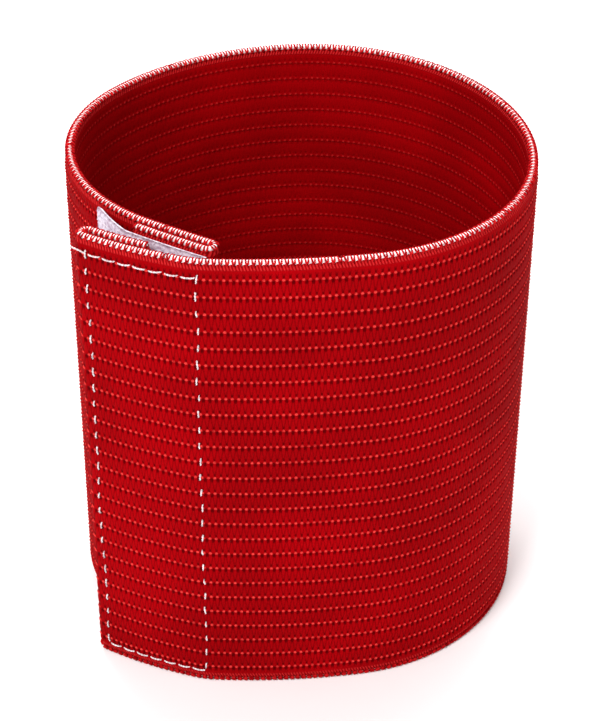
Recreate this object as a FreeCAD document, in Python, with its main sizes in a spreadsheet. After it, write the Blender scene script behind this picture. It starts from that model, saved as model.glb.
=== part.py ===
import FreeCAD, Part
import math
import os

from FreeCAD import Vector

# A wide elastic wristband: one strip of woven elastic closed into a loop by hook and loop tape.
# It stands on its lower edge. The strip's mid-line is a chain of tangent arcs in plan, run clockwise
# seen from above, from the end that lies inside to the flap that lies over it. An offset across the
# strip is positive outwards, away from the middle of the loop.

# Each run of the mid-line: the length of band it belongs to, its name, its radius and its turn.
RUNS = [
    ("inner_end", "tip", 188.0, 3.8),
    ("inner_end", "heel", 27.2, 24.0),
    ("left_wall", "left_near", 27.2, 23.5),
    ("left_wall", "left_far", 26.4, 48.2),
    ("back_wall", "back_left", 39.5, 43.9),
    ("back_wall", "back_right", 31.2, 48.7),
    ("right_wall", "right", 34.1, 57.5),
    ("front_wall", "front_right", 29.4, 71.2),
    ("front_wall", "front_left", 100.5, 10.9),
    ("flap", "root", 91.5, 2.1),
    ("flap", "crease", 12.0, 14.0),
    ("flap", "free", 64.0, 15.4),
]
SEGMENTS = ["inner_end", "left_wall", "back_wall", "right_wall", "front_wall", "flap"]

DIMENSIONS = [
    ("band_height", 76.0),
    ("band_thickness", 1.65),
    ("start_x", -11.163),
    ("start_y", -27.972),
    ("start_heading", 150.1),
    ("wall_gap", 0.6),
    ("flap_gap", 1.6),
    ("fold_radius", 0.87),
    ("inner_hem", 13.0),
    ("flap_hem", 11.0),
    ("row_pitch", 2.81),
    ("row_count", 26),
    ("first_row_drop", 2.75),
    ("rubber_side", 0.7),
    ("edge_cord_diameter", 0.9),
    ("tape_width", 20.0),
    ("loop_tape_inset", 1.3),
    ("hook_tape_inset", 2.2),
    ("tape_thickness", 0.6),
    ("tape_clearance", 0.03),
    ("loop_tape_start", 0.9),
    ("hook_tape_start", 0.4),
    ("tape_ramp", 6.0),
    ("thread_diameter", 0.36),
    ("row_stitch", 1.3),
    ("edge_stitch", 1.7),
    ("edge_stitch_pitch", 2.3),
    ("seam_near", 2.6),
    ("seam_far", 18.9),
    ("top_seam_drop", 3.0),
    ("bottom_seam_rise", 2.5),
    ("seam_level_shift", 0.4),
    ("tail_reach", 1.4),
    ("tail_rise", 0.9),
    ("tail_arch", 0.5),
    ("tail_lift", 0.2),
    ("cord_inset", 0.1),
]

UP = Vector(0, 0, 1)

doc = FreeCAD.newDocument("elastic_wristband")
sheet = doc.addObject("Spreadsheet::Sheet", "Dimensions")
cells = list(DIMENSIONS)
for segment, run, radius, turn in RUNS:
    cells.append((run + "_radius", radius))
    cells.append((run + "_turn", turn))
for row, (alias, value) in enumerate(cells, start=1):
    sheet.set("A%d" % row, alias)
    sheet.set("B%d" % row, str(value))
    sheet.setAlias("B%d" % row, alias)
doc.recompute()


def size(alias):
    return float(getattr(sheet, alias))


thickness = size("band_thickness")
layer_step = 2 * size("fold_radius")


# --- the mid-line -------------------------------------------------------------------------------

class Run:
    """One arc of the mid-line, turning clockwise."""

    def __init__(self, segment, name, start, heading):
        self.segment = segment
        self.radius = size(name + "_radius")
        self.turn = math.radians(size(name + "_turn"))
        self.length = self.radius * self.turn
        self.angle = heading + math.pi / 2
        self.centre = start - self.radius * direction(self.angle)
        self.end = self.centre + self.radius * direction(self.angle - self.turn)
        self.end_heading = heading - self.turn

    def point(self, travel, offset):
        return self.centre + (self.radius + offset) * direction(self.angle - travel / self.radius)

    def arc(self, first, last, offset):
        circle = Part.Circle(self.centre, UP, self.radius + offset)
        low = self.angle - last / self.radius
        return Part.ArcOfCircle(circle, low, self.angle - first / self.radius)


def direction(angle):
    return Vector(math.cos(angle), math.sin(angle), 0)


def lay_runs():
    runs = []
    start = Vector(size("start_x"), size("start_y"), 0)
    heading = math.radians(size("start_heading"))
    for segment, name, radius, turn in RUNS:
        runs.append(Run(segment, name, start, heading))
        start = runs[-1].end
        heading = runs[-1].end_heading
    return runs


runs = lay_runs()
total_length = sum(run.length for run in runs)


def locate(travel):
    """The run that holds a distance along the mid-line, and the distance along that run."""
    for run in runs[:-1]:
        if travel <= run.length:
            return run, travel
        travel -= run.length
    return runs[-1], travel


def at(travel, offset, height=0.0):
    run, along = locate(travel)
    return run.point(along, offset) + Vector(0, 0, height)


def outward(travel):
    return (at(travel, 1.0) - at(travel, 0.0)).normalize()


SEGMENT_FIRST = {name: [run.segment for run in runs].index(name) for name in SEGMENTS}


def span(segment):
    """Where a length of band starts and ends along the mid-line, before its gaps."""
    before = sum(run.length for run in runs[:SEGMENT_FIRST[segment]])
    own = sum(run.length for run in runs if run.segment == segment)
    return before, before + own


def trimmed(segment):
    """The stretch of mid-line that a length of band covers, clear of the hinge lines at its ends."""
    first, last = span(segment)
    if segment != "inner_end":
        first += size("flap_gap" if segment == "flap" else "wall_gap") / 2
    if segment != "flap":
        last -= size("flap_gap" if segment == "front_wall" else "wall_gap") / 2
    return first, last


# --- outlines in plan ---------------------------------------------------------------------------

def arcs(first, last, offset):
    """The arcs between two places on the mid-line, at an offset from it."""
    pieces = []
    before = 0.0
    for run in runs:
        low = max(first - before, 0.0)
        high = min(last - before, run.length)
        if run is runs[-1]:
            high = last - before
        if high - low > 1e-6:
            pieces.append(run.arc(low, high, offset))
        before += run.length
    return pieces


def line(travel_a, offset_a, travel_b, offset_b):
    return Part.LineSegment(at(travel_a, offset_a), at(travel_b, offset_b))


def strip_outline(first, last, middle, width):
    low, high = middle - width / 2, middle + width / 2
    outline = arcs(first, last, low) + arcs(first, last, high)
    outline.append(line(first, low, first, high))
    outline.append(line(last, low, last, high))
    return outline


def fold_arc(travel, side, radius):
    """Half a turn round the fold's centre, bulging past the end of the strip."""
    centre = at(travel, side * layer_step / 2)
    face = outward(travel)
    angle = math.atan2(face.y, face.x)
    # The inner end's fold bulges back along the strip, and the flap's fold bulges forwards.
    low = angle if side > 0 else angle - math.pi
    return Part.ArcOfCircle(Part.Circle(centre, UP, radius), low, low + math.pi)


def folded_outline(segment, width):
    """A length of band whose free end is folded over into a hem."""
    first, last = trimmed(segment)
    fold = thickness / 2 + layer_step / 2
    if segment == "inner_end":
        side, turn_at, root, hem_end = 1, first + fold, last, first + size("inner_hem")
    else:
        side, turn_at, root, hem_end = -1, last - fold, first, last - size("flap_hem")
    main_span = sorted((turn_at, root))
    hem_span = sorted((turn_at, hem_end))
    outline = []
    for face in (-width / 2, width / 2):
        outline += arcs(main_span[0], main_span[1], face)
        outline += arcs(hem_span[0], hem_span[1], side * layer_step + face)
    outline.append(fold_arc(turn_at, side, layer_step / 2 + width / 2))
    outline.append(fold_arc(turn_at, side, layer_step / 2 - width / 2))
    outline.append(line(root, -width / 2, root, width / 2))
    outline.append(line(hem_end, side * layer_step - width / 2, hem_end, side * layer_step + width / 2))
    return outline


def lane(segment, width):
    """The plan outline of anything that follows a length of band, as wide as it says."""
    if segment in ("inner_end", "flap"):
        return folded_outline(segment, width)
    first, last = trimmed(segment)
    return strip_outline(first, last, 0.0, width)


def tape_outline(far, hem_end, near, side):
    """A tape sewn over a hem: it lies on the hem's face, then ramps down to the band's own face."""
    half = size("tape_thickness") / 2
    on_hem = side * (layer_step + thickness / 2 + size("tape_clearance") + half)
    on_band = side * (thickness / 2 + size("tape_clearance") + half)
    step = size("tape_ramp") if near > far else -size("tape_ramp")
    ramp_start = hem_end + step / 6
    ramp_end = ramp_start + step
    outline = []
    for face in (-half, half):
        outline += arcs(min(far, ramp_start), max(far, ramp_start), on_hem + face)
        outline += arcs(min(ramp_end, near), max(ramp_end, near), on_band + face)
        outline.append(line(ramp_start, on_hem + face, ramp_end, on_band + face))
    outline.append(line(far, on_hem - half, far, on_hem + half))
    outline.append(line(near, on_band - half, near, on_band + half))
    return outline


# --- the objects of the document ----------------------------------------------------------------

def padded_body(name, outline, length_alias, inset_alias=None):
    """A body whose sketch holds the outline and whose pad takes its length from the sheet.

    An inset lifts the sketch and shortens the pad by as much at each end.
    """
    body = doc.addObject("PartDesign::Body", name)
    body.Label = name
    plane = [item for item in body.Origin.OriginFeatures if item.Role == "XY_Plane"][0]
    sketch = body.newObject("Sketcher::SketchObject", name + "_outline")
    sketch.AttachmentSupport = [(plane, "")]
    sketch.MapMode = "FlatFace"
    sketch.addGeometry(outline, False)
    if inset_alias:
        sketch.setExpression("AttachmentOffset.Base.z", "Dimensions." + inset_alias)
    pad = body.newObject("PartDesign::Pad", name + "_pad")
    pad.Profile = sketch
    length = "Dimensions." + length_alias
    if inset_alias:
        length += " - 2 * Dimensions." + inset_alias
    pad.setExpression("Length", length)
    body.Tip = pad
    return body


def group(name, solids):
    """A set of separate solids in one object."""
    feature = doc.addObject("Part::Feature", name)
    feature.Label = name
    feature.Shape = Part.makeCompound(solids)
    feature.Placement = FreeCAD.Placement()
    return feature


def flat_face(outline):
    edges = [piece.toShape() for piece in outline]
    return Part.Face(Part.Wire(Part.sortEdges(edges)[0]))


def row_height(index):
    return size("band_height") - size("first_row_drop") - index * size("row_pitch")


def rubber_strands(segment):
    """Square-cut rubber threads, one in each rib between two rows of the weave."""
    side = size("rubber_side")
    face = flat_face(lane(segment, side))
    strands = []
    for index in range(int(size("row_count")) - 1):
        height = (row_height(index) + row_height(index + 1)) / 2 - side / 2
        strand = face.extrude(Vector(0, 0, side))
        strand.translate(Vector(0, 0, height))
        strands.append(strand)
    return group("rubber_strands_" + segment, strands)


def edge_cords(segment):
    """The cord inside each selvedge, one along the top edge and one along the bottom."""
    diameter = size("edge_cord_diameter")
    face = flat_face(lane(segment, diameter))
    inset = size("cord_inset")
    cords = []
    for height in (inset, size("band_height") - inset - diameter):
        cord = face.extrude(Vector(0, 0, diameter))
        cord.translate(Vector(0, 0, height))
        cords.append(cord)
    return group("edge_cords_" + segment, cords)


def stitch(middle, along, length):
    """One stitch: a short rod of thread with round ends."""
    radius = size("thread_diameter") / 2
    straight = length - 2 * radius
    start = middle - along * (straight / 2)
    end = middle + along * (straight / 2)
    rod = Part.makeCylinder(radius, straight, start, along)
    return rod.fuse([Part.makeSphere(radius, start), Part.makeSphere(radius, end)]).removeSplitter()


def seam_box(travel_near, travel_far, offset_at):
    """A box of stitches: one stitch to a row up each side, and longer ones along top and bottom."""
    stitches = []
    for travel in (travel_near, travel_far):
        for index in range(int(size("row_count"))):
            middle = at(travel, offset_at(travel), row_height(index))
            stitches.append(stitch(middle, UP, size("row_stitch")))
    low, high = sorted((travel_near, travel_far))
    count = int((high - low) / size("edge_stitch_pitch"))
    pitch = (high - low) / count
    top = size("band_height") - size("top_seam_drop") + size("seam_level_shift")
    for height in (size("bottom_seam_rise") - size("seam_level_shift"), top):
        for index in range(count):
            travel = low + (index + 0.5) * pitch
            before, after = travel - pitch / 4, travel + pitch / 4
            along = at(after, offset_at(after)) - at(before, offset_at(before))
            middle = at(travel, offset_at(travel), height)
            stitches.append(stitch(middle, along.normalize(), size("edge_stitch")))
    return stitches


def tape_face(hem_end, side):
    """Where stitches lie sunk flush in the exposed face of a tape, above the hem and past it."""
    rise = thickness / 2 + size("tape_clearance") + size("tape_thickness") - size("thread_diameter") / 2

    def offset(travel):
        past_hem = (travel - hem_end) * side
        share = min(max((past_hem - size("tape_ramp") / 6) / size("tape_ramp"), 0.0), 1.0)
        return side * (rise + layer_step * (1.0 - share))

    return offset


bands = []
for segment in SEGMENTS:
    bands.append(padded_body("band_" + segment, lane(segment, thickness), "band_height"))
strands = [rubber_strands(segment) for segment in SEGMENTS]
cords = [edge_cords(segment) for segment in SEGMENTS]

inner_hem_end = size("inner_hem")
loop_start = size("loop_tape_start")
loop_outline = tape_outline(loop_start, inner_hem_end, loop_start + size("tape_width"), 1)
loop_tape = padded_body("loop_tape", loop_outline, "band_height", "loop_tape_inset")

flap_hem_end = total_length - size("flap_hem")
hook_start = total_length - size("hook_tape_start")
hook_outline = tape_outline(hook_start, flap_hem_end, hook_start - size("tape_width"), -1)
hook_tape = padded_body("hook_tape", hook_outline, "band_height", "hook_tape_inset")

flap_near = total_length - size("seam_near")
flap_far = total_length - size("seam_far")
outer_face = thickness / 2
flap_stitches = seam_box(flap_near, flap_far, lambda travel: outer_face)
flap_stitches += seam_box(flap_near, flap_far, tape_face(flap_hem_end, -1))
flap_stitching = group("flap_stitching", flap_stitches)

loop_near = loop_start + size("seam_near")
loop_far = loop_start + size("seam_far")
loop_stitches = seam_box(loop_near, loop_far, lambda travel: -outer_face)
loop_stitches += seam_box(loop_near, loop_far, tape_face(inner_hem_end, 1))
loop_tape_stitching = group("loop_tape_stitching", loop_stitches)


def thread_tail():
    """The loose end of the flap's thread: an arc out of the seam's top corner, past the fold."""
    radius = size("thread_diameter") / 2
    height = size("band_height") - size("top_seam_drop") + size("tail_rise")
    face = thickness / 2 + radius
    lift = size("tail_lift")
    root = at(flap_near, face, height)
    middle = at(total_length - radius, face + lift, height + size("tail_arch"))
    end = at(total_length + size("tail_reach"), face - lift, height + size("tail_arch") / 2)
    path = Part.Wire([Part.Arc(root, middle, end).toShape()])
    start_direction = path.Edges[0].tangentAt(path.Edges[0].FirstParameter)
    section = Part.Wire([Part.Circle(root, start_direction, radius).toShape()])
    return path.makePipeShell([section], True, False)


flap_thread_tail = group("flap_thread_tail", [thread_tail()])

doc.recompute()

subparts = bands + strands + cords
subparts += [loop_tape, hook_tape, flap_stitching, loop_tape_stitching, flap_thread_tail]
for item in doc.Objects:
    if "Invalid" in item.State or "Error" in item.State:
        raise RuntimeError("failed to compute: " + item.Label)
for item in subparts:
    if item.Shape.isNull() or not item.Shape.isValid():
        raise RuntimeError("bad shape: " + item.Label)

os.makedirs("parts", exist_ok=True)
for item in subparts:
    item.Shape.exportStep("parts/%s.step" % item.Label)

whole = Part.makeCompound([item.Shape for item in subparts])
print("length of the strip", round(total_length, 2))
print("bounding box", whole.BoundBox)
for item in subparts:
    print(item.Label, len(item.Shape.Solids), round(item.Shape.Volume, 1))
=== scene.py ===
import math

import bpy
import numpy as np
from mathutils import Matrix, Vector


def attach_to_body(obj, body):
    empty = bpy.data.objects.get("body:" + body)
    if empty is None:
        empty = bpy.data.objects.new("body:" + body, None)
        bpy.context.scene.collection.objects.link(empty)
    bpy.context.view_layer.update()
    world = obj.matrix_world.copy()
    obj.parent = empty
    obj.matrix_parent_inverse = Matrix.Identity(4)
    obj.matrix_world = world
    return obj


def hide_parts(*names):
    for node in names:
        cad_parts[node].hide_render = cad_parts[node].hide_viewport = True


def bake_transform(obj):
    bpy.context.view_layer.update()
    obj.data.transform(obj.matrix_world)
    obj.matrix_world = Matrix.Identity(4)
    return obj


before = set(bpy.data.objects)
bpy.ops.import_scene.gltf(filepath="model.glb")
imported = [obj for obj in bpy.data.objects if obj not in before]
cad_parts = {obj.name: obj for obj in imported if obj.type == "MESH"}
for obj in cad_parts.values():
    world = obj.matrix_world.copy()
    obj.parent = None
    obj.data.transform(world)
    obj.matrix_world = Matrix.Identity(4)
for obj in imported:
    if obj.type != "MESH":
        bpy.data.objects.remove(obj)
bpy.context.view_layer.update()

# All lengths below are in millimetres, and MM turns them into Blender's metres.
# An offset across the strip is positive outwards, away from the middle of the loop.
MM = 0.001

# The strip's mid-line in plan: radius and turn of each tangent arc, clockwise seen from above.
RUNS = [
    (188.0, 3.8), (27.2, 24.0), (27.2, 23.5), (26.4, 48.2), (39.5, 43.9), (31.2, 48.7),
    (34.1, 57.5), (29.4, 71.2), (100.5, 10.9), (91.5, 2.1), (12.0, 14.0), (64.0, 15.4),
]
START = (-11.163, -27.972)
START_HEADING = 150.1
HEIGHT = 76.0
THICKNESS = 1.65
FOLD_RADIUS = 0.87
LAYER_STEP = 2 * FOLD_RADIUS
FOLD_AT = THICKNESS / 2 + FOLD_RADIUS
INNER_HEM = 13.0
FLAP_HEM = 11.0

# The weave: one pick is one crossing yarn, and one row is one line of raised dots.
PICK = 0.89
ROW_PITCH = 2.81
ROW_COUNT = 26
FIRST_ROW_DROP = 2.75
LAST_ROW = HEIGHT - FIRST_ROW_DROP - (ROW_COUNT - 1) * ROW_PITCH
COLUMNS_PER_PICK = 4
# The relief of the woven face. The holes lie under each row of dots and the slits above it.
FACE_DEPTH = 0.12
RIB_RISE = 0.10
DOT_RISE = 0.24
HOLE_SINK = 0.16
SLIT_SINK = 0.08
MARK_SHIFT = 0.42
SLANT_RISE = 0.06
INNER_SHARE = 0.4

# The selvedges: a white cord in each edge and a red yarn over it, first the top one, then the bottom one.
CORD_DEPTH = 0.42
CORD_HEIGHTS = (HEIGHT - CORD_DEPTH, CORD_DEPTH + 0.1)
CORD_RADII = (0.44, 0.38)
CORD_RIPPLE = 0.03
YARN_RADII = (0.135, 0.25)
YARN_SWING = 112
YARN_REACH = 0.52
YARN_OUT = 1.25
YARN_UP = 0.78

# The tapes; each starts a little in from the fold of its own end of the strip.
TAPE_WIDTH = 20.0
LOOP_TAPE_INSET = 1.0
HOOK_TAPE_INSET = 2.2
TAPE_THICKNESS = 0.6
TAPE_CLEARANCE = 0.03
TAPE_RAMP = 6.0
LOOP_TAPE_START = 0.9
HOOK_TAPE_START = 0.4
PILE_STEP = 0.62
PILE_RADIUS = 0.045
HOOK_STEP = 0.95
HOOK_RADIUS = 0.07

# The seams: how far each side of a seam's box is from the fold, and the thread.
SEAM_NEAR = 2.6
SEAM_FAR = 18.9
THREAD_RADIUS = 0.125
PLY_RADIUS = THREAD_RADIUS * 0.62
TWIST_LENGTH = 0.9
STITCH_LIFT = 0.06
STITCH_SINK = 0.22

# The studio: lens and place of the camera in millimetres, its angles in degrees, and each lamp's
# place and size in metres and power in watts.
LENS = 105.9
CAMERA_PLACE = (-5.143, -273.459, 227.12)
CAMERA_ANGLES = (1.11, 34.77, 0.385)
LAMP_AIM = (0, 0, 0.04)
LAMPS = [
    ("key_light", (-0.28, -0.42, 0.62), 0.28, 4.4),
    ("fill_light", (0.55, -0.35, 0.35), 0.5, 0.5),
    ("top_light", (0.0, 0.25, 0.75), 0.35, 4.4),
]
SKY_STRENGTH = 0.6
FLOOR_REACH = 4.0

rng = np.random.default_rng(7)


# --- the camera and the lights ------------------------------------------------------------------

def add_camera():
    data = bpy.data.cameras.new("camera")
    data.sensor_width = 36.0
    data.lens = LENS
    data.clip_start = 0.01
    camera = bpy.data.objects.new("camera", data)
    yaw, pitch, roll = [math.radians(angle) for angle in CAMERA_ANGLES]
    turn = Matrix.Rotation(-yaw, 4, "Z") @ Matrix.Rotation(math.pi / 2 - pitch, 4, "X")
    turn = turn @ Matrix.Rotation(roll, 4, "Z")
    camera.matrix_world = Matrix.Translation(Vector(CAMERA_PLACE) * MM) @ turn
    bpy.context.collection.objects.link(camera)
    bpy.context.scene.camera = camera


def add_light(name, place, size, power):
    data = bpy.data.lights.new(name, "AREA")
    data.size = size
    data.energy = power
    light = bpy.data.objects.new(name, data)
    light.location = place
    light.rotation_euler = (Vector(LAMP_AIM) - Vector(place)).to_track_quat("-Z", "Y").to_euler()
    bpy.context.collection.objects.link(light)


def add_studio():
    for lamp in LAMPS:
        add_light(*lamp)
    world = bpy.data.worlds.new("studio")
    world.use_nodes = True
    background = world.node_tree.nodes["Background"]
    background.inputs["Color"].default_value = (1.0, 1.0, 1.0, 1.0)
    background.inputs["Strength"].default_value = SKY_STRENGTH
    bpy.context.scene.world = world
    bpy.context.scene.view_settings.view_transform = "Standard"


# --- the strip in plan --------------------------------------------------------------------------

def lay_runs():
    """Each arc's radius, its start along the mid-line, its centre and the angle it starts at."""
    radii = np.array([radius for radius, turn in RUNS])
    turns = np.radians([turn for radius, turn in RUNS])
    starts = np.concatenate([[0.0], np.cumsum(radii * turns)])
    place = np.array(START)
    angle = math.radians(START_HEADING) + math.pi / 2
    centres, angles = [], []
    for radius, turn in zip(radii, turns):
        centres.append(place - radius * np.array([math.cos(angle), math.sin(angle)]))
        angles.append(angle)
        angle -= turn
        place = centres[-1] + radius * np.array([math.cos(angle), math.sin(angle)])
    return radii, starts, np.array(centres), np.array(angles)


RADII, STARTS, CENTRES, ANGLES = lay_runs()
TOTAL = STARTS[-1]


def main_line(travel):
    """Plan points, outward normals and forward tangents at distances along the mid-line."""
    travel = np.asarray(travel, float)
    run = np.clip(np.searchsorted(STARTS, travel, side="right") - 1, 0, len(RUNS) - 1)
    angle = ANGLES[run] - (travel - STARTS[run]) / RADII[run]
    normal = np.stack([np.cos(angle), np.sin(angle)], -1)
    tangent = np.stack([normal[..., 1], -normal[..., 0]], -1)
    return CENTRES[run] + RADII[run][..., None] * normal, normal, tangent


FOLD_LENGTH = math.pi * FOLD_RADIUS
MAIN_FROM = INNER_HEM - FOLD_AT + FOLD_LENGTH
MAIN_TO = MAIN_FROM + TOTAL - 2 * FOLD_AT
FLAP_HEM_FROM = MAIN_TO + FOLD_LENGTH
STRIP_END = FLAP_HEM_FROM + FLAP_HEM - FOLD_AT


def place_on_strip(travel):
    """The distance along the whole strip, hems included, of a distance along the mid-line."""
    return MAIN_FROM + travel - FOLD_AT


def strip(along):
    """Plan points and normals of the strip's own mid-line, from one raw edge to the other."""
    along = np.asarray(along, float)
    inner_hem = INNER_HEM - along
    main = along - MAIN_FROM + FOLD_AT
    flap_hem = TOTAL - FOLD_AT - (along - FLAP_HEM_FROM)
    in_fold = (along >= INNER_HEM - FOLD_AT) & (along < MAIN_FROM)
    in_inner_hem = along < INNER_HEM - FOLD_AT
    out_fold = (along > MAIN_TO) & (along <= FLAP_HEM_FROM)
    in_flap_hem = along > FLAP_HEM_FROM
    travel = np.clip(main, FOLD_AT, TOTAL - FOLD_AT)
    travel = np.where(in_inner_hem, inner_hem, np.where(in_flap_hem, flap_hem, travel))
    point, normal, tangent = main_line(travel)
    swing = np.where(in_fold, (along - INNER_HEM + FOLD_AT) / FOLD_RADIUS, 0.0)
    swing = np.where(out_fold, (along - MAIN_TO) / FOLD_RADIUS, swing)[..., None]
    hub = point + FOLD_RADIUS * normal
    spoke = np.cos(swing) * normal - np.sin(swing) * tangent
    point = np.where(in_fold[..., None], hub + FOLD_RADIUS * spoke, point)
    facing = np.where(in_fold[..., None], -spoke, normal)
    hub = point - FOLD_RADIUS * normal
    spoke = np.cos(swing) * normal + np.sin(swing) * tangent
    point = np.where(out_fold[..., None], hub + FOLD_RADIUS * spoke, point)
    facing = np.where(out_fold[..., None], spoke, facing)
    point = np.where(in_inner_hem[..., None], point + LAYER_STEP * normal, point)
    point = np.where(in_flap_hem[..., None], point - LAYER_STEP * normal, point)
    facing = np.where((in_inner_hem | in_flap_hem)[..., None], -normal, facing)
    return point, facing


# --- meshes -------------------------------------------------------------------------------------

def build(name, points, quads, material, uvs=None, inner=None):
    """A smooth mesh from points in millimetres, with an optional UV and face-side value per point."""
    mesh = bpy.data.meshes.new(name)
    mesh.vertices.add(len(points))
    mesh.vertices.foreach_set("co", (np.asarray(points, float) * MM).ravel())
    quads = np.asarray(quads, np.int32)
    mesh.loops.add(quads.size)
    mesh.loops.foreach_set("vertex_index", quads.ravel())
    mesh.polygons.add(len(quads))
    mesh.polygons.foreach_set("loop_start", np.arange(0, quads.size, 4, dtype=np.int32))
    mesh.update(calc_edges=True)
    mesh.polygons.foreach_set("use_smooth", np.ones(len(quads), bool))
    if uvs is not None:
        layer = mesh.uv_layers.new(name="weave")
        layer.data.foreach_set("uv", np.asarray(uvs, float)[quads.ravel()].ravel())
    if inner is not None:
        side = mesh.attributes.new("inner", "FLOAT", "POINT")
        side.data.foreach_set("value", np.asarray(inner, float))
    mesh.materials.append(material)
    mesh.validate()
    piece = bpy.data.objects.new(name, mesh)
    bpy.context.collection.objects.link(piece)
    return piece


def grid_quads(rows, columns, closed=False, first=0):
    """Quads of a grid of points held row by row; closed joins the last column to the first."""
    steps = columns if closed else columns - 1
    row, column = np.meshgrid(np.arange(rows - 1), np.arange(steps), indexing="ij")
    after = (column + 1) % columns
    corners = [row * columns + column, (row + 1) * columns + column]
    corners += [(row + 1) * columns + after, row * columns + after]
    return first + np.stack(corners, -1).reshape(-1, 4)


def cap_quads(ring, columns):
    """Quads across one end of a tube-like grid, pairing points from both sides of the ring."""
    pairs = columns // 2
    low = np.arange(pairs - 1)
    return ring * columns + np.stack([low, low + 1, columns - 2 - low, columns - 1 - low], -1)


def tubes(lines, radii, sides):
    """Points and quads of round tubes along several lines of points, closed at both ends."""
    points, quads, first = [], [], 0
    angle = np.arange(sides) * 2 * math.pi / sides
    for line, radius in zip(lines, radii):
        line = np.asarray(line, float)
        forward = np.gradient(line, axis=0)
        forward /= np.linalg.norm(forward, axis=1)[:, None]
        level = abs(forward[:, 2]).mean() < 0.7
        guide = np.array([0.31, 0.22, 0.93] if level else [0.9, 0.3, 0.1])
        across = np.cross(forward, guide)
        across /= np.linalg.norm(across, axis=1)[:, None]
        other = np.cross(forward, across)
        radius = np.broadcast_to(radius, len(line)).copy()
        radius[[0, -1]] *= 0.35
        ring = np.cos(angle)[None, :, None] * across[:, None]
        ring = ring + np.sin(angle)[None, :, None] * other[:, None]
        points.append((line[:, None] + radius[:, None, None] * ring).reshape(-1, 3))
        quads.append(grid_quads(len(line), sides, closed=True, first=first))
        quads.append(first + cap_quads(0, sides)[:, ::-1])
        quads.append(first + cap_quads(len(line) - 1, sides))
        first += len(line) * sides
    return np.concatenate(points), np.concatenate(quads)


def tubes_fast(lines, radius):
    """Four-sided tubes along many short lines of equal length, all at once."""
    lines = np.asarray(lines)
    forward = np.gradient(lines, axis=1)
    forward /= np.linalg.norm(forward, axis=2)[..., None]
    guide = np.array([0.48, 0.33, 0.81])
    across = np.cross(forward, guide)
    across /= np.linalg.norm(across, axis=2)[..., None]
    other = np.cross(forward, across)
    angle = np.arange(4) * math.pi / 2
    ring = np.cos(angle)[:, None] * across[:, :, None] + np.sin(angle)[:, None] * other[:, :, None]
    points = lines[:, :, None] + radius * ring
    count, length = lines.shape[:2]
    near_end = [[3, 2, 1, 0]]
    far_end = [[4 * length - 4, 4 * length - 3, 4 * length - 2, 4 * length - 1]]
    one = np.concatenate([grid_quads(length, 4, closed=True), near_end, far_end])
    quads = one[None] + (np.arange(count) * 4 * length)[:, None, None]
    return points.reshape(-1, 3), quads.reshape(-1, 4)


# --- materials ----------------------------------------------------------------------------------

class Wire:
    """A shader value that takes plain arithmetic, each step of it one Math node."""

    def __init__(self, tree, socket):
        self.tree = tree
        self.socket = socket

    def math(self, operation, *others, clamp=False):
        node = self.tree.nodes.new("ShaderNodeMath")
        node.operation = operation
        node.use_clamp = clamp
        for slot, value in zip(node.inputs, (self,) + others):
            if isinstance(value, Wire):
                self.tree.links.new(value.socket, slot)
            else:
                slot.default_value = value
        return Wire(self.tree, node.outputs[0])

    def __add__(self, other):
        return self.math("ADD", other)

    def __sub__(self, other):
        return self.math("SUBTRACT", other)

    def __mul__(self, other):
        return self.math("MULTIPLY", other)

    def fraction(self):
        return self.math("FRACT")

    def size(self):
        return self.math("ABSOLUTE")

    def square(self):
        return self.math("MULTIPLY", self)

    def between(self, low, high):
        """Rises smoothly from 0 at low to 1 at high; low may be the larger."""
        node = self.tree.nodes.new("ShaderNodeMapRange")
        node.interpolation_type = "SMOOTHSTEP"
        self.tree.links.new(self.socket, node.inputs["Value"])
        node.inputs["From Min"].default_value = low
        node.inputs["From Max"].default_value = high
        return Wire(self.tree, node.outputs["Result"])


def new_material(name, colour, roughness, sheen):
    """A material, its node tree and its shader, matt like cloth."""
    material = bpy.data.materials.new(name)
    material.use_nodes = True
    shader = material.node_tree.nodes["Principled BSDF"]
    shader.inputs["Base Color"].default_value = (*colour, 1.0)
    shader.inputs["Roughness"].default_value = roughness
    shader.inputs["Sheen Weight"].default_value = sheen
    shader.inputs["Sheen Roughness"].default_value = 0.4
    shader.inputs["Specular IOR Level"].default_value = 0.02
    return material, material.node_tree, shader


def noise(tree, scale, detail=3.0):
    """Noise that stays with the piece when it moves."""
    coordinates = tree.nodes.new("ShaderNodeTexCoord")
    node = tree.nodes.new("ShaderNodeTexNoise")
    node.inputs["Scale"].default_value = scale
    node.inputs["Detail"].default_value = detail
    tree.links.new(coordinates.outputs["Object"], node.inputs["Vector"])
    return Wire(tree, node.outputs["Fac"])


def mix_colour(tree, share, first, second):
    """Mixes two colours, each a plain colour or a socket."""
    node = tree.nodes.new("ShaderNodeMix")
    node.data_type = "RGBA"
    tree.links.new(share.socket, node.inputs["Factor"])
    for slot, value in ((node.inputs["A"], first), (node.inputs["B"], second)):
        if isinstance(value, tuple):
            slot.default_value = (*value, 1.0)
        else:
            tree.links.new(value, slot)
    return node.outputs["Result"]


def add_bump(tree, shader, height, distance, strength):
    node = tree.nodes.new("ShaderNodeBump")
    node.inputs["Distance"].default_value = distance
    node.inputs["Strength"].default_value = strength
    tree.links.new(height.socket, node.inputs["Height"])
    tree.links.new(node.outputs["Normal"], shader.inputs["Normal"])


def oval(across, upward, edge, core):
    """1 inside core and 0 outside edge, both squared distances from the oval's middle."""
    return (across.square() + upward.square()).between(edge, core)


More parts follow.
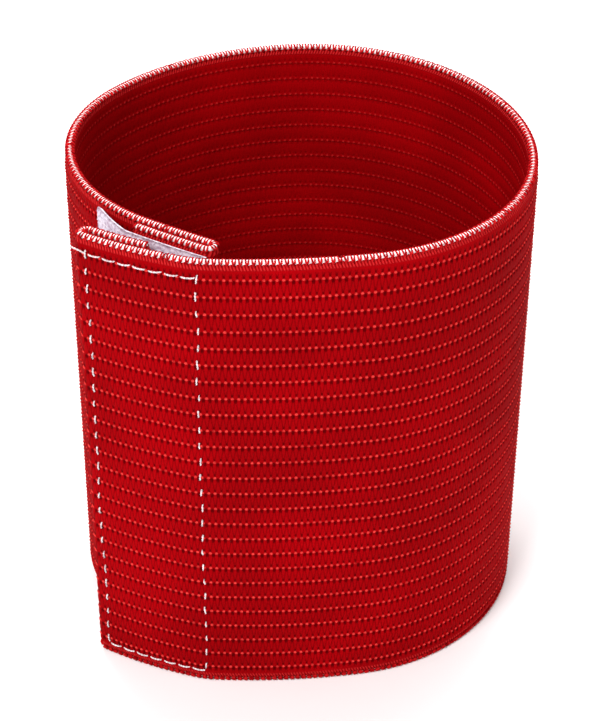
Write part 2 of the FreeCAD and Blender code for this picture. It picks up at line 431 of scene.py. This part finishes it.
def woven_material():
    """Red ribbed elastic: dots at every crossing, gaps beside them and yarns in a V between; the gaps,
    slits and grooves are darkened with painted shade, and the dots on the outer face are lightened with a
    painted highlight.
    """
    material, tree, shader = new_material("red_woven_elastic", (0.42, 0.001, 0.004), 0.8, 0.0)
    uv = tree.nodes.new("ShaderNodeUVMap")
    uv.uv_map = "weave"
    parts = tree.nodes.new("ShaderNodeSeparateXYZ")
    tree.links.new(uv.outputs["UV"], parts.inputs["Vector"])
    pick = Wire(tree, parts.outputs["X"])
    row = Wire(tree, parts.outputs["Y"])
    side = tree.nodes.new("ShaderNodeAttribute")
    side.attribute_name = "inner"
    inner = Wire(tree, side.outputs["Fac"])

    across = (pick + 0.5).fraction() - 0.5
    upward = (row + 0.5).fraction() - 0.5
    climb = row.fraction()
    woven = row.between(-0.42, -0.3) * row.between(25.42, 25.3)
    outside = inner * -0.75 + 1.0
    marked = woven * outside
    dot = oval(across * 3.5, upward * 11.0, 1.15, 0.3) * woven
    gap_across = across.size() * -1.0 + 0.5
    hole = oval(gap_across * 3.4, (upward + 0.16) * 7.5, 1.2, 0.1) * marked
    slit = oval(across * 5.5, (upward - 0.16) * 8.0, 1.2, 0.1) * marked
    groove = (across.size() - climb * 0.5).size().between(0.16, 0.0) * marked
    slant = (pick * 2.0 - row * 2.2).fraction() - 0.5
    yarn = slant.size().between(0.42, 0.15)
    selvedge = (row - 12.5).size().between(12.98, 13.06)

    fuzz = noise(tree, 900.0)
    patch = noise(tree, 60.0, 2.0)
    plain = mix_colour(tree, patch.between(0.3, 0.75), (0.27, 0.0, 0.0015), (0.36, 0.0, 0.002))
    # Painted shade: the colour is darkened in the grooves, the slits and the holes, the hollows of the
    # weave that lie in shade. The same masks also sink the bump.
    shaded = mix_colour(tree, groove * 0.55, plain, (0.13, 0.0, 0.001))
    shaded = mix_colour(tree, slit * 0.55, shaded, (0.07, 0.0, 0.001))
    shaded = mix_colour(tree, hole * 0.65, shaded, (0.05, 0.0, 0.001))
    shaded = mix_colour(tree, selvedge * yarn * 0.8, shaded, (0.62, 0.02, 0.022))
    # Painted highlight: the raised dots on the outer face are lightened towards a pale red, as if lit,
    # broken up by fine noise.
    painted_dot_highlight = dot * fuzz.between(0.1, 0.6) * outside
    tree.links.new(mix_colour(tree, painted_dot_highlight, shaded, (0.80, 0.045, 0.04)), shader.inputs["Base Color"])
    height = dot * 0.8 - hole - slit * 0.6 - groove * 0.35 + fuzz * 0.5 + selvedge * yarn * 0.8
    add_bump(tree, shader, height, 0.00018, 0.8)
    return material


def fibre_material(name, light, dark, scale, roughness):
    """Yarn or pile: two close colours broken up by fine fibres."""
    material, tree, shader = new_material(name, light, roughness, 0.01)
    fibres = noise(tree, scale, 5.0)
    tree.links.new(mix_colour(tree, fibres.between(0.35, 0.6), dark, light), shader.inputs["Base Color"])
    add_bump(tree, shader, fibres, 0.0002, 0.6)
    return material


RED_WEAVE = woven_material()
RED_YARN = fibre_material("red_selvedge_yarn", (0.50, 0.008, 0.010), (0.26, 0.0, 0.002), 1500.0, 0.65)
WHITE_CORD = fibre_material("white_selvedge_cord", (0.95, 0.90, 0.90), (0.72, 0.60, 0.61), 1500.0, 0.6)
WHITE_THREAD = fibre_material("white_sewing_thread", (0.86, 0.80, 0.82), (0.55, 0.42, 0.44), 2500.0, 0.55)
LOOP_PILE = fibre_material("loop_pile", (0.74, 0.68, 0.77), (0.50, 0.38, 0.48), 1800.0, 0.9)
HOOK_BASE = fibre_material("hook_tape_weave", (0.70, 0.68, 0.73), (0.45, 0.42, 0.48), 1800.0, 0.6)
RUBBER = fibre_material("natural_rubber", (0.72, 0.62, 0.46), (0.58, 0.48, 0.34), 400.0, 0.7)


# --- the woven skin -----------------------------------------------------------------------------

def skin_heights():
    """Heights up one face: close together at each row of dots and wider apart on the ribs."""
    around_row = np.array([-0.75, -0.45, -0.28, -0.12, 0.0, 0.12, 0.28, 0.45, 0.75, 1.4])
    rows = LAST_ROW + ROW_PITCH * np.arange(ROW_COUNT)
    heights = (rows[:, None] + around_row).ravel()
    low_edge = [0.45, 0.7, 1.0, 1.35, 1.7, 2.0]
    high_edge = [HEIGHT - edge for edge in (1.35, 1.1, 0.85, 0.6, 0.45)]
    heights = heights[(heights > 2.1) & (heights < HEIGHT - 1.5)]
    return np.concatenate([low_edge, heights, high_edge])


def relief(along, height, inner):
    """How far the woven face stands out at each place, in millimetres."""
    pick = along / PICK
    row = (height - LAST_ROW) / ROW_PITCH
    across = (pick + 0.5) % 1.0 - 0.5
    upward = ((row + 0.5) % 1.0 - 0.5) * ROW_PITCH
    woven = (row > -0.4) & (row < ROW_COUNT - 0.6)
    dot = np.cos(math.pi * np.clip(across * 1.25, -0.5, 0.5)) * np.exp(-(upward / 0.17) ** 2)
    hole = np.cos(math.pi * np.clip((0.5 - abs(across)) * 2.0, 0, 0.5))
    hole = hole * np.exp(-((upward + MARK_SHIFT) / 0.16) ** 2)
    slit = np.cos(math.pi * np.clip(across * 2.2, -0.5, 0.5))
    slit = slit * np.exp(-((upward - MARK_SHIFT) / 0.16) ** 2)
    rib = RIB_RISE * np.cos(math.pi * (upward / ROW_PITCH + 0.5)) ** 2
    strength = np.where(inner, INNER_SHARE, 1.0)
    raised = rib + strength * (DOT_RISE * dot - HOLE_SINK * hole - SLIT_SINK * slit)
    slanted = SLANT_RISE * np.abs(np.sin(math.pi * (pick - row * 1.1)))
    return np.where(woven, raised, slanted)


def skin(name, first, last):
    """A closed length of the woven strip, both faces and both edges, between two places on it."""
    count = max(int(round((last - first) / PICK * COLUMNS_PER_PICK)), 2) + 1
    along = np.linspace(first, last, count)
    heights = skin_heights()
    top_edge, low_edge, edge_half = HEIGHT - 0.42, 0.4, 0.25
    up_side = np.concatenate([heights, [top_edge, top_edge]])
    down_side = np.concatenate([heights[::-1], [low_edge, low_edge]])
    ring = np.concatenate([up_side, down_side])
    face_half = THICKNESS / 2 - FACE_DEPTH
    taper = 0.5 + 0.5 * np.clip(np.minimum(ring, HEIGHT - ring) / 1.1 - 0.35, 0, 1)
    outer_half = np.concatenate([np.full(len(heights), face_half), [edge_half, -edge_half]])
    offset = np.concatenate([outer_half, -outer_half])
    is_face = np.abs(offset) > edge_half
    inner = offset < 0
    points, facing = strip(along)
    stand = relief(along[:, None], ring[None, :], inner[None, :]) * is_face * np.sign(offset)
    out = offset * taper + stand
    plan = points[:, None] + out[..., None] * facing[:, None]
    grid = np.concatenate([plan, np.broadcast_to(ring[None, :, None], plan.shape[:2] + (1,))], -1)
    pick = np.broadcast_to(along[:, None] / PICK, grid.shape[:2])
    row = np.broadcast_to((ring[None, :] - LAST_ROW) / ROW_PITCH, grid.shape[:2])
    width = len(ring)
    quads = [grid_quads(count, width, closed=True)[:, ::-1]]
    quads += [cap_quads(count, width), cap_quads(count + 1, width)[:, ::-1]]
    ends = [0, count - 1]
    grid = np.concatenate([grid, grid[ends]])
    uvs = np.stack([pick, row], -1)
    uvs = np.concatenate([uvs, uvs[ends]]).reshape(-1, 2)
    side = np.broadcast_to(inner[None, :], grid.shape[:2]).ravel()
    return build(name, grid.reshape(-1, 3), np.concatenate(quads), RED_WEAVE, uvs, side)


def on_strip(along, offset, height):
    """Points at places on the strip, with offsets and heights for all of them or for each."""
    point, facing = strip(along)
    plan = point + np.asarray(offset)[..., None] * facing
    return np.concatenate([plan, np.broadcast_to(np.asarray(height, float), plan.shape[:1])[:, None]], -1)


def selvedge_cord(name, first, last):
    """The white cord in both edges of a length of the strip."""
    along = np.linspace(first, last, int((last - first) / 0.45) + 2)
    ripple = CORD_RIPPLE * np.sin(2 * math.pi * along / PICK)
    lines = [on_strip(along, 0.0, height) for height in CORD_HEIGHTS]
    points, quads = tubes(lines, [radius + ripple for radius in CORD_RADII], 10)
    return build(name, points, quads, WHITE_CORD)


def selvedge_loops(name, first, last):
    """The red yarn that zigzags over the cord, out to one face and back to the other at each pick."""
    along = np.linspace(first, last, int((last - first) / PICK * 14) + 2)
    phase = (along / PICK) % 1.0
    swing = np.where(phase < 0.5, 4 * phase - 1, 3 - 4 * phase)
    angle = math.radians(YARN_SWING) * np.sin(swing * math.pi / 2)
    offset = YARN_REACH * np.sin(angle) * YARN_OUT
    lines = []
    for centre, way in zip(CORD_HEIGHTS, (1.0, -1.0)):
        height = centre + way * YARN_REACH * np.cos(angle) * YARN_UP
        lines.append(on_strip(along, offset, height))
    points, quads = tubes(lines, YARN_RADII, 7)
    return build(name, points, quads, RED_YARN)


# --- riding on bodies ---------------------------------------------------------------------------

# Each joint: the distance along the mid-line at its hinge, and how far the bend spreads each way.
BENDS = {
    "inner_end_flex": (STARTS[2], 6.0),
    "right_wall_flex": (STARTS[6], 8.0),
    "front_wall_flex": (STARTS[7], 8.0),
    "flap_peel": (STARTS[9], 3.2),
}


def attach(piece, body, joint=None):
    """A piece rides on its body; a piece of a joint only has its placement baked into its mesh, and the
    hinge points worked out for it are not used.
    """
    if joint is None:
        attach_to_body(piece, body)
        return
    travel, spread = BENDS[joint]
    point, _, tangent = main_line(travel)
    middle = np.append(point, HEIGHT / 2)
    reach = np.append(tangent, 0.0) * spread
    before, after = tuple((middle - reach) * MM), tuple((middle + reach) * MM)
    if joint == "inner_end_flex":
        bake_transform(piece)
    else:
        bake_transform(piece)


# The skin is cut at these distances along the mid-line, and at both raw edges.
CUTS = (9.0, 38.0, 68.0, 98.0, 129.0, 162.0, 189.0, 213.0)
PLACES = [0.0] + [place_on_strip(cut) for cut in CUTS] + [STRIP_END]
# Each length of skin in order: name, body or joint, and the CAD nodes it replaces.
LENGTHS = [
    ("inner_hem", "inner_end", None, ("band_inner_end", "edge_cords_inner_end")),
    ("inner_bend", None, "inner_end_flex", ()),
    ("left", "back_and_left", None, ("band_left_wall", "edge_cords_left_wall")),
    ("back", "back_and_left", None, ("band_back_wall", "edge_cords_back_wall")),
    ("right_back", None, "right_wall_flex", ("band_right_wall", "edge_cords_right_wall")),
    ("right_front", None, "front_wall_flex", ()),
    ("front", "front_wall", None, ("band_front_wall", "edge_cords_front_wall")),
    ("flap_bend", None, "flap_peel", ()),
    ("flap", "flap", None, ("band_flap", "edge_cords_flap")),
]


def add_skins():
    for (name, body, joint, nodes), first, last in zip(LENGTHS, PLACES, PLACES[1:]):
        weave = skin("weave_" + name, first, last)
        cord = selvedge_cord("edge_cord_" + name, first, last)
        loops = selvedge_loops("edge_loops_" + name, first, last)
        for piece, slot in ((weave, "woven_elastic"), (cord, "white_yarn"), (loops, "woven_elastic")):
            attach(piece, body, joint)
        if nodes:
            band_node, cord_node = nodes
            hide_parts(band_node)
            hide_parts(cord_node)


# --- the tapes ----------------------------------------------------------------------------------

def tape_offset(travel, hem_end, side, depth):
    """The offset of a point in a tape, as deep in it as depth says from its back face."""
    past_hem = (travel - hem_end) * side
    share = np.clip((past_hem - TAPE_RAMP / 6) / TAPE_RAMP, 0.0, 1.0)
    return side * (THICKNESS / 2 + TAPE_CLEARANCE + depth + LAYER_STEP * (1.0 - share))


def at(travel, offset, height):
    """Points at distances along the mid-line, offsets and heights that broadcast together."""
    travel, offset, height = np.broadcast_arrays(travel, offset, height)
    point, normal, _ = main_line(travel)
    return np.concatenate([point + offset[..., None] * normal, height[..., None]], -1)


def tape_slab(name, far, near, hem_end, side, inset, roughness, material):
    """A tape as a closed thin slab with a slightly uneven face and softened edges."""
    travel = np.linspace(far, near, 81)
    height = np.linspace(inset, HEIGHT - inset, 241)
    grid_travel, grid_height = np.meshgrid(travel, height, indexing="ij")
    wave = rng.normal(0.0, roughness, grid_travel.shape)
    wave = (wave + np.roll(wave, 1, 0) + np.roll(wave, 1, 1)) / 2
    edge_travel = np.minimum(abs(grid_travel - far), abs(grid_travel - near))
    edge = np.minimum(edge_travel, np.minimum(grid_height - inset, HEIGHT - inset - grid_height))
    soft = np.clip(edge / 0.35, 0.0, 1.0) ** 0.5
    face_depth = TAPE_THICKNESS * (0.55 + 0.4 * soft) - np.abs(wave)
    face = at(grid_travel, tape_offset(grid_travel, hem_end, side, face_depth), grid_height)
    back = at(grid_travel, tape_offset(grid_travel, hem_end, side, 0.02), grid_height)
    rows, columns = face.shape[:2]
    points = np.concatenate([face.reshape(-1, 3), back.reshape(-1, 3)])
    quads = [grid_quads(rows, columns), grid_quads(rows, columns, first=rows * columns)[:, ::-1]]
    index = np.arange(rows * columns).reshape(rows, columns)
    rim = np.concatenate([index[:, 0], index[-1, 1:], index[-2::-1, -1], index[0, -2:0:-1]])
    after = np.roll(rim, -1)
    quads.append(np.stack([rim, after, after + rows * columns, rim + rows * columns], -1))
    return build(name, points, np.concatenate(quads), material)


def pile_loops(far, near, hem_end):
    """Short fibres that stand out of the loop tape and fall over."""
    lines = []
    arch = np.array([0.0, 0.35, 0.5, 0.4, 0.05])
    step = np.linspace(0.0, 1.0, 5)
    depth = TAPE_THICKNESS * 0.8 + arch * 0.22
    for travel in np.arange(far + 0.4, near - 0.3, PILE_STEP):
        for height in np.arange(LOOP_TAPE_INSET + 0.4, HEIGHT - LOOP_TAPE_INSET - 0.3, PILE_STEP):
            foot = travel + rng.uniform(-0.25, 0.25)
            level = height + rng.uniform(-0.25, 0.25)
            lean, rise = rng.uniform(-0.45, 0.45, 2)
            travels = np.clip(foot + lean * step, far + 0.05, near - 0.05)
            lines.append(at(travels, tape_offset(travels, hem_end, 1, depth), level + rise * step))
    return lines


def hook_lines(far, near, hem_end):
    """Rows of small hooks on the hook tape, every other row shifted and turned the other way."""
    lines = []
    low, high = sorted((far, near))
    depth = TAPE_THICKNESS * np.array([0.6, 0.85, 1.0, 1.0, 0.85])
    lowest, highest = HOOK_TAPE_INSET + 0.9, HEIGHT - HOOK_TAPE_INSET - 0.9
    for count, travel in enumerate(np.arange(low + 0.9, high - 0.7, HOOK_STEP)):
        odd = count % 2
        bow = (1 if odd else -1) * np.array([0.0, 0.02, 0.12, 0.3, 0.36])
        for height in np.arange(lowest + 0.45 * odd, highest, HOOK_STEP):
            lines.append(at(travel, tape_offset(travel, hem_end, -1, depth), height + bow))
    return lines


def add_tapes():
    far, near, hem_end = LOOP_TAPE_START, LOOP_TAPE_START + TAPE_WIDTH, INNER_HEM
    loop = tape_slab("loop_tape_base", far, near, hem_end, 1, LOOP_TAPE_INSET, 0.05, LOOP_PILE)
    points, quads = tubes_fast(pile_loops(far, near, hem_end), PILE_RADIUS)
    pile = build("loop_tape_pile", points, quads, LOOP_PILE)
    far, hem_end = TOTAL - HOOK_TAPE_START, TOTAL - FLAP_HEM
    near = far - TAPE_WIDTH
    hook = tape_slab("hook_tape_base", far, near, hem_end, -1, HOOK_TAPE_INSET, 0.03, HOOK_BASE)
    points, quads = tubes_fast(hook_lines(far, near, hem_end), HOOK_RADIUS)
    hooks = build("hook_tape_hooks", points, quads, HOOK_BASE)
    for piece, body, slot in (
        (loop, "inner_end", "loop_pile"), (pile, "inner_end", "loop_pile"),
        (hook, "flap", "hook_tape"), (hooks, "flap", "hook_tape"),
    ):
        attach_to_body(piece, body)
    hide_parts("loop_tape")
    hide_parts("hook_tape")


# --- the stitching ------------------------------------------------------------------------------

def twisted(line):
    """Two plies wound round each other along a line of points."""
    line = np.asarray(line, float)
    forward = np.gradient(line, axis=0)
    forward /= np.linalg.norm(forward, axis=1)[:, None]
    across = np.cross(forward, np.array([0.37, 0.61, 0.7]))
    across /= np.linalg.norm(across, axis=1)[:, None]
    other = np.cross(forward, across)
    travel = np.concatenate([[0.0], np.cumsum(np.linalg.norm(np.diff(line, axis=0), axis=1))])
    angle = 2 * math.pi * travel / TWIST_LENGTH
    plies = []
    for start in (0.0, math.pi):
        spoke = np.cos(angle + start)[:, None] * across + np.sin(angle + start)[:, None] * other
        plies.append(line + 0.5 * THREAD_RADIUS * spoke)
    return plies


def outer_face(travel):
    return np.full(np.shape(travel), THICKNESS / 2 + STITCH_LIFT)


def inner_face(travel):
    return -outer_face(travel)


def loop_tape_face(travel):
    return tape_offset(travel, INNER_HEM, 1, TAPE_THICKNESS - 0.1)


def hook_tape_face(travel):
    return tape_offset(travel, TOTAL - FLAP_HEM, -1, TAPE_THICKNESS - 0.1)


def arched_stitch(travel_a, height_a, travel_b, height_b, face, rise):
    """One stitch that dives into the cloth at both ends and stands out in the middle."""
    step = np.linspace(0.0, 1.0, 11)
    travel = travel_a + (travel_b - travel_a) * step
    height = height_a + (height_b - height_a) * step
    arch = np.sin(math.pi * step) ** 0.6
    side = np.sign(face(travel))
    offset = face(travel) + side * (arch * rise - STITCH_SINK)
    return at(travel, offset, height)


def seam_box(near, far, face, rise, wander):
    """A box of stitches: one to a row up each side, and longer ones along the top and the bottom."""
    lines = []
    for travel in (near, far):
        drift = 0.0
        for index in range(ROW_COUNT):
            drift = 0.7 * drift + rng.normal(0.0, wander)
            height = LAST_ROW + index * ROW_PITCH
            length = 1.1 + rng.uniform(-0.3, 0.5)
            place = travel + drift
            lean = rng.normal(0.0, 0.05)
            low, high = height - length / 2, height + length / 2
            lines.append(arched_stitch(place - lean, low, place + lean, high, face, rise))
    low, high = sorted((near, far))
    count = int((high - low) / 2.3)
    pitch = (high - low) / count
    for level in (2.1, HEIGHT - 2.6):
        for index in range(count):
            start = low + index * pitch + 0.12
            tilt = rng.normal(0.0, 0.06)
            end = start + pitch - 0.3
            lines.append(arched_stitch(start, level + tilt, end, level - tilt, face, rise))
    return lines


def thread_tail(near):
    """The loose end at the seam's top corner: it leaves the cloth, passes the fold and droops."""
    step = np.linspace(0.0, 1.0, 22)
    travel = near + 0.3 + (TOTAL + 1.0 - near - 0.3) * step
    height = HEIGHT - 2.7 + 0.5 * np.sin(math.pi * step ** 0.8) + 0.25 * step
    bulge = 0.4 * np.sin(math.pi * np.clip(step * 1.2, 0, 1))
    offset = outer_face(travel) - 0.12 + bulge - 0.2 * step ** 3
    return at(travel, offset, height)


def build_threads(name, lines, body, node):
    plies = [ply for line in lines for ply in twisted(line)]
    points, quads = tubes(plies, [PLY_RADIUS] * len(plies), 6)
    piece = build(name, points, quads, WHITE_THREAD)
    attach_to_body(piece, body)
    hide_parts(node)


def add_stitching():
    near, far = TOTAL - SEAM_NEAR, TOTAL - SEAM_FAR
    lines = seam_box(near, far, outer_face, 0.3, 0.1) + seam_box(near, far, hook_tape_face, 0.2, 0.05)
    build_threads("flap_seam_threads", lines, "flap", "flap_stitching")
    build_threads("flap_thread_end", [thread_tail(near)], "flap", "flap_thread_tail")
    near, far = LOOP_TAPE_START + SEAM_NEAR, LOOP_TAPE_START + SEAM_FAR
    lines = seam_box(near, far, inner_face, 0.3, 0.1) + seam_box(near, far, loop_tape_face, 0.2, 0.05)
    build_threads("loop_tape_threads", lines, "inner_end", "loop_tape_stitching")


# --- the rest -----------------------------------------------------------------------------------

def paint_rubber():
    for name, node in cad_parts.items():
        if name.startswith("rubber_strands"):
            for slot in node.material_slots:
                slot.material = RUBBER


def add_floor():
    mesh = bpy.data.meshes.new("floor")
    corners = [(x * FLOOR_REACH, y * FLOOR_REACH, 0) for x, y in ((-1, -1), (1, -1), (1, 1), (-1, 1))]
    mesh.from_pydata(corners, [], [(0, 1, 2, 3)])
    mesh.materials.append(new_material("pale_floor", (0.93, 0.93, 0.93), 0.9, 0.0)[0])
    floor = bpy.data.objects.new("floor", mesh)
    bpy.context.collection.objects.link(floor)


add_camera()
add_studio()
add_floor()
add_skins()
add_tapes()
add_stitching()
paint_rubber()
